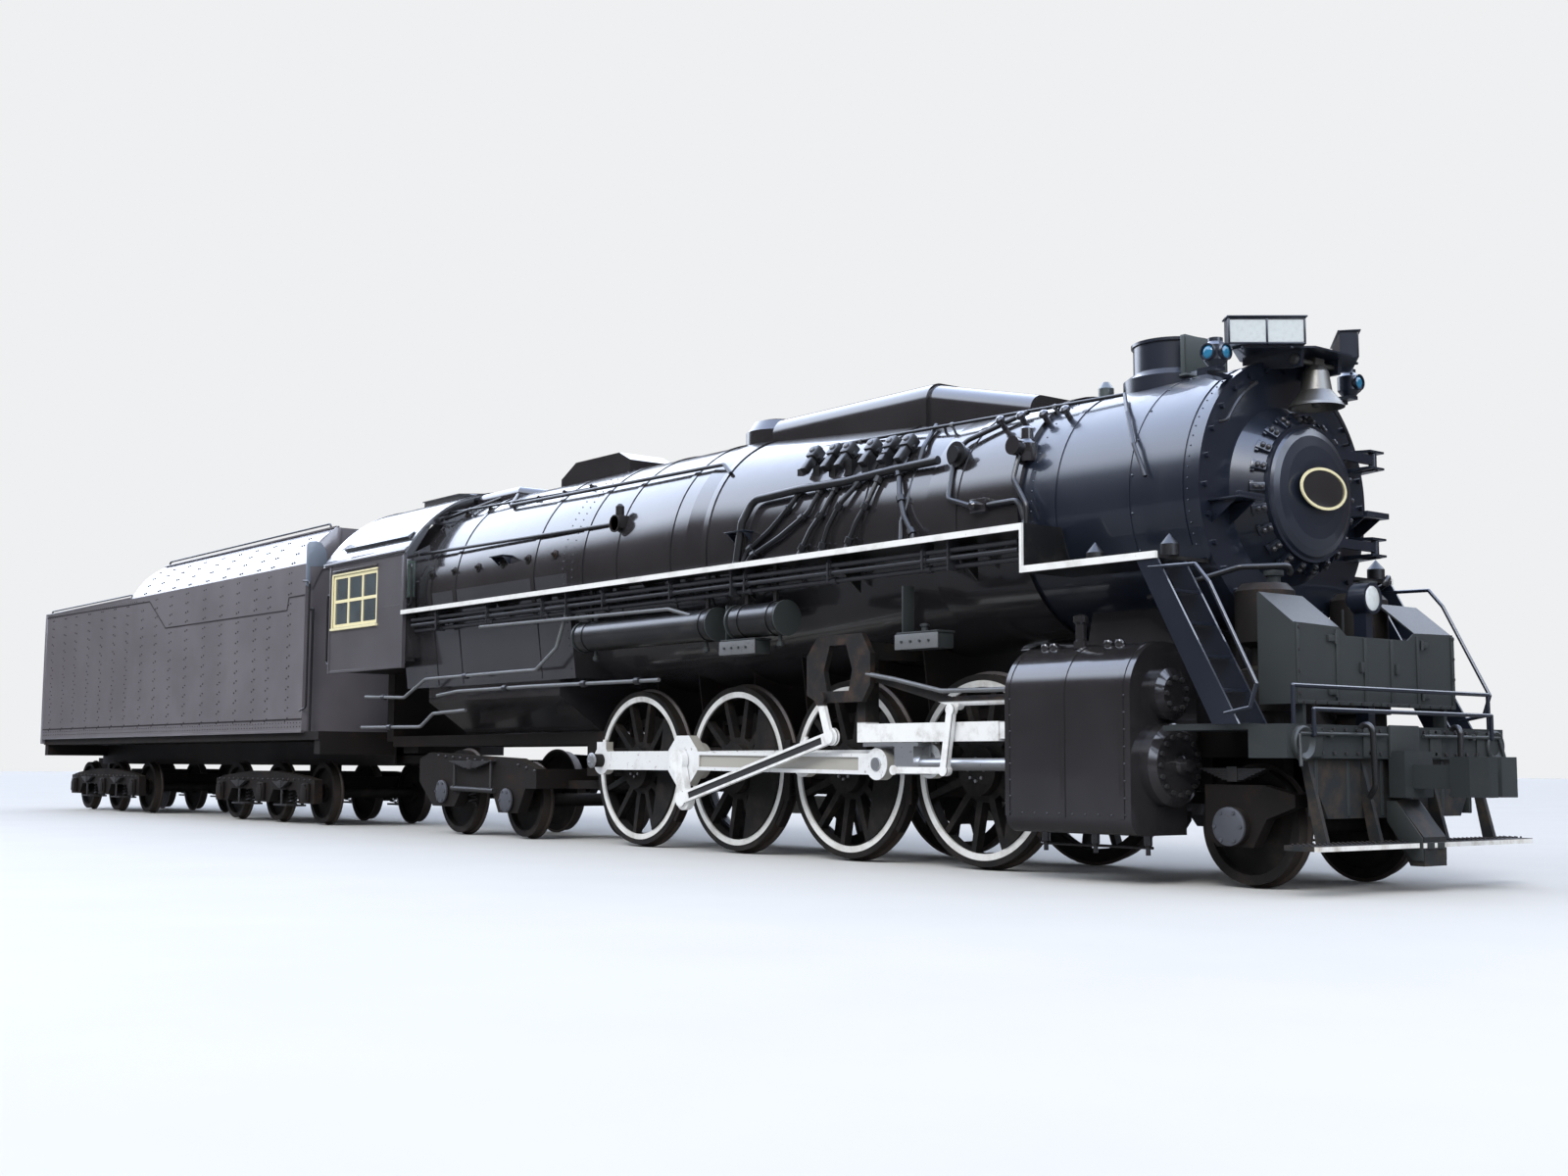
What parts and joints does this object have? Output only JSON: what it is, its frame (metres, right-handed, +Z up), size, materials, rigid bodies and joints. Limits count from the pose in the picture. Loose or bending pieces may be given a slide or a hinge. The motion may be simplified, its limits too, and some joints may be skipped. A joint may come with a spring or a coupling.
{
  "type": "steam locomotive with tender",
  "caption": "Large freight steam locomotive with tender: turning wheels and coupled rods, sliding crossheads, swivelling trucks, hinged tender, swinging bell, opening smokebox door and hatches.",
  "frame": {"origin": "under the middle of the overall length between coupler faces, at the lowest point of the wheel flanges", "axes": "+X forward along the engine, +Y to its left-hand side, +Z up"},
  "size_m": [31.24, 3.224, 4.83],
  "materials": {
    "black_enamel": "gloss enamel, a little weathered",
    "frame_black": "matt black with rust showing",
    "shield_green": "matt grey-green black",
    "cream_paint": "satin cream",
    "pipe_grey": "satin, worn to metal",
    "white_paint": "satin white, chipped",
    "rod_steel": "dull steel",
    "wheel_steel": "matt black, white tyre faces",
    "bell_metal": "polished"
  },
  "bodies": {
    "engine": {"cylinder_casting": "black_enamel", "boiler_barrel": "black_enamel", "firebox_shell": "black_enamel", "smokebox_shell": "black_enamel", "smokestack": "black_enamel", "sand_dome": "black_enamel", "steam_dome_and_turrets": "black_enamel", "cab_left_side": "black_enamel", "cab_right_side": "black_enamel", "cab_front_wall": "black_enamel", "cab_roof": "black_enamel", "running_boards": "black_enamel", "bell_yoke": "black_enamel", "front_lamps": "black_enamel", "engine_bed": "frame_black", "cab_floor": "frame_black", "pilot_beam": "frame_black", "pilot_and_footboards": "frame_black", "front_coupler": "frame_black", "air_pumps": "frame_black", "valve_gear": "frame_black", "brake_rigging": "frame_black", "pump_shields": "shield_green", "cab_windows": "cream_paint", "boiler_handrails": "pipe_grey", "side_pipes": "pipe_grey", "boiler_fittings": "pipe_grey", "front_ladders_and_rails": "pipe_grey", "crosshead_guides": "white_paint"},
    "lead_truck": {"lead_truck_frame": "frame_black"},
    "lead_wheels": {"lead_wheelset": "wheel_steel"},
    "trailing_truck": {"trailing_truck_frame": "frame_black"},
    "trailing_wheels_front": {"trailing_wheelset_front": "wheel_steel"},
    "trailing_wheels_rear": {"trailing_wheelset_rear": "wheel_steel"},
    "drivers_1": {"driver_wheelset_1": "wheel_steel"},
    "drivers_2": {"driver_wheelset_2": "wheel_steel"},
    "drivers_3": {"driver_wheelset_3": "wheel_steel"},
    "drivers_4": {"driver_wheelset_4": "wheel_steel"},
    "side_rod_right": {"side_rod_right": "white_paint"},
    "side_rod_left": {"side_rod_left": "white_paint"},
    "crosshead_right": {"crosshead_right": "rod_steel"},
    "crosshead_left": {"crosshead_left": "rod_steel"},
    "main_rod_right": {"main_rod_right": "white_paint"},
    "main_rod_left": {"main_rod_left": "white_paint"},
    "smokebox_door": {"smokebox_door": "black_enamel"},
    "bell": {"bell": "bell_metal"},
    "roof_hatch": {"cab_roof_hatch": "black_enamel"},
    "drawbar": {"drawbar": "frame_black"},
    "tender": {"tender_frame": "frame_black", "tender_tank": "black_enamel", "tender_ladders_and_rails": "pipe_grey"},
    "water_hatch": {"tender_water_hatch": "black_enamel"},
    "tender_truck_front": {"tender_truck_front": "frame_black"},
    "tender_truck_rear": {"tender_truck_rear": "frame_black"},
    "tender_wheels_1": {"tender_wheelset_1": "wheel_steel"},
    "tender_wheels_2": {"tender_wheelset_2": "wheel_steel"},
    "tender_wheels_3": {"tender_wheelset_3": "wheel_steel"},
    "tender_wheels_4": {"tender_wheelset_4": "wheel_steel"},
    "tender_wheels_5": {"tender_wheelset_5": "wheel_steel"},
    "tender_wheels_6": {"tender_wheelset_6": "wheel_steel"}
  },
  "joints": [
    {"name": "drivers_3_turn", "type": "hinge", "parent": "engine", "child": "drivers_3", "pos_m": [7.2916, 0, 0.9051], "axis": [0, 1, 0], "continuous": true},
    {"name": "drivers_1_turn", "type": "hinge", "parent": "engine", "child": "drivers_1", "pos_m": [11, 0, 0.9051], "axis": [0, 1, 0], "continuous": true},
    {"name": "drivers_2_turn", "type": "hinge", "parent": "engine", "child": "drivers_2", "pos_m": [9.1458, 0, 0.9051], "axis": [0, 1, 0], "continuous": true},
    {"name": "drivers_4_turn", "type": "hinge", "parent": "engine", "child": "drivers_4", "pos_m": [5.4374, 0, 0.9051], "axis": [0, 1, 0], "continuous": true},
    {"name": "side_rod_right_pivot", "type": "hinge", "parent": "drivers_3", "child": "side_rod_right", "pos_m": [6.86711, -1.02, 0.98531], "axis": [0, 1, 0], "continuous": true},
    {"name": "crosshead_right_slide", "type": "slide", "parent": "engine", "child": "crosshead_right", "axis": [1, 0, 0], "range_m": [-0.0079, 0.8561]},
    {"name": "main_rod_right_swing", "type": "hinge", "parent": "crosshead_right", "child": "main_rod_right", "pos_m": [10.01697, -1.17, 0.955], "axis": [0, -1, 0], "range_deg": [-6.42, 9.35]},
    {"name": "side_rod_left_pivot", "type": "hinge", "parent": "drivers_3", "child": "side_rod_left", "pos_m": [7.21139, 1.02, 0.48061], "axis": [0, 1, 0], "continuous": true},
    {"name": "crosshead_left_slide", "type": "slide", "parent": "engine", "child": "crosshead_left", "axis": [1, 0, 0], "range_m": [-0.3164, 0.5476]},
    {"name": "main_rod_left_swing", "type": "hinge", "parent": "crosshead_left", "child": "main_rod_left", "pos_m": [10.32547, 1.17, 0.955], "axis": [0, -1, 0], "range_deg": [-15.63, 0.14]},
    {"name": "lead_truck_swivel", "type": "hinge", "parent": "engine", "child": "lead_truck", "pos_m": [12.25, 0, 0.7], "axis": [0, 0, 1], "range_deg": [-3, 3]},
    {"name": "lead_wheels_turn", "type": "hinge", "parent": "lead_truck", "child": "lead_wheels", "pos_m": [13.96, 0, 0.4858], "axis": [0, 1, 0], "continuous": true},
    {"name": "trailing_truck_swivel", "type": "hinge", "parent": "engine", "child": "trailing_truck", "pos_m": [4.85, 0, 0.7], "axis": [0, 0, 1], "range_deg": [-4, 4]},
    {"name": "trailing_wheels_front_turn", "type": "hinge", "parent": "trailing_truck", "child": "trailing_wheels_front", "pos_m": [2.86, 0, 0.4858], "axis": [0, 1, 0], "continuous": true},
    {"name": "trailing_wheels_rear_turn", "type": "hinge", "parent": "trailing_truck", "child": "trailing_wheels_rear", "pos_m": [1.158, 0, 0.5747], "axis": [0, 1, 0], "continuous": true},
    {"name": "smokebox_door_hinge", "type": "hinge", "parent": "engine", "child": "smokebox_door", "pos_m": [14.014, 0.895, 3.184], "axis": [0, 0, 1], "range_deg": [0, 110]},
    {"name": "bell_swing", "type": "hinge", "parent": "engine", "child": "bell", "pos_m": [14.09, 0, 4.25], "axis": [0, 1, 0], "range_deg": [-12, 12]},
    {"name": "roof_hatch_hinge", "type": "hinge", "parent": "engine", "child": "roof_hatch", "pos_m": [0.295, 0, 4.7283], "axis": [0, 1, 0], "range_deg": [0, 50]},
    {"name": "drawbar_engine_pin", "type": "hinge", "parent": "engine", "child": "drawbar", "pos_m": [-0.9, 0, 1], "axis": [0, 0, 1], "range_deg": [-3, 3]},
    {"name": "drawbar_tender_pin", "type": "hinge", "parent": "drawbar", "child": "tender", "pos_m": [-2.3, 0, 1], "axis": [0, 0, 1], "range_deg": [-4, 4]},
    {"name": "water_hatch_hinge", "type": "hinge", "parent": "tender", "child": "water_hatch", "pos_m": [-12.25, 0, 3.9443], "axis": [0, 1, 0], "range_deg": [0, 100]},
    {"name": "tender_truck_front_swivel", "type": "hinge", "parent": "tender", "child": "tender_truck_front", "pos_m": [-4.9, 0, 0.9], "axis": [0, 0, 1], "range_deg": [-6, 6]},
    {"name": "tender_wheels_1_turn", "type": "hinge", "parent": "tender_truck_front", "child": "tender_wheels_1", "pos_m": [-3.2, 0, 0.4858], "axis": [0, 1, 0], "continuous": true},
    {"name": "tender_wheels_2_turn", "type": "hinge", "parent": "tender_truck_front", "child": "tender_wheels_2", "pos_m": [-4.9, 0, 0.4858], "axis": [0, 1, 0], "continuous": true},
    {"name": "tender_wheels_3_turn", "type": "hinge", "parent": "tender_truck_front", "child": "tender_wheels_3", "pos_m": [-6.6, 0, 0.4858], "axis": [0, 1, 0], "continuous": true},
    {"name": "tender_truck_rear_swivel", "type": "hinge", "parent": "tender", "child": "tender_truck_rear", "pos_m": [-12.6, 0, 0.9], "axis": [0, 0, 1], "range_deg": [-6, 6]},
    {"name": "tender_wheels_4_turn", "type": "hinge", "parent": "tender_truck_rear", "child": "tender_wheels_4", "pos_m": [-10.9, 0, 0.4858], "axis": [0, 1, 0], "continuous": true},
    {"name": "tender_wheels_5_turn", "type": "hinge", "parent": "tender_truck_rear", "child": "tender_wheels_5", "pos_m": [-12.6, 0, 0.4858], "axis": [0, 1, 0], "continuous": true},
    {"name": "tender_wheels_6_turn", "type": "hinge", "parent": "tender_truck_rear", "child": "tender_wheels_6", "pos_m": [-14.3, 0, 0.4858], "axis": [0, 1, 0], "continuous": true}
  ],
  "couplings": [
    {"joint": "drivers_1_turn", "follows": "drivers_3_turn", "ratio": 1},
    {"joint": "drivers_2_turn", "follows": "drivers_3_turn", "ratio": 1},
    {"joint": "drivers_4_turn", "follows": "drivers_3_turn", "ratio": 1},
    {"joint": "side_rod_right_pivot", "follows": "drivers_3_turn", "ratio": -1},
    {"joint": "side_rod_left_pivot", "follows": "drivers_3_turn", "ratio": -1}
  ]
}
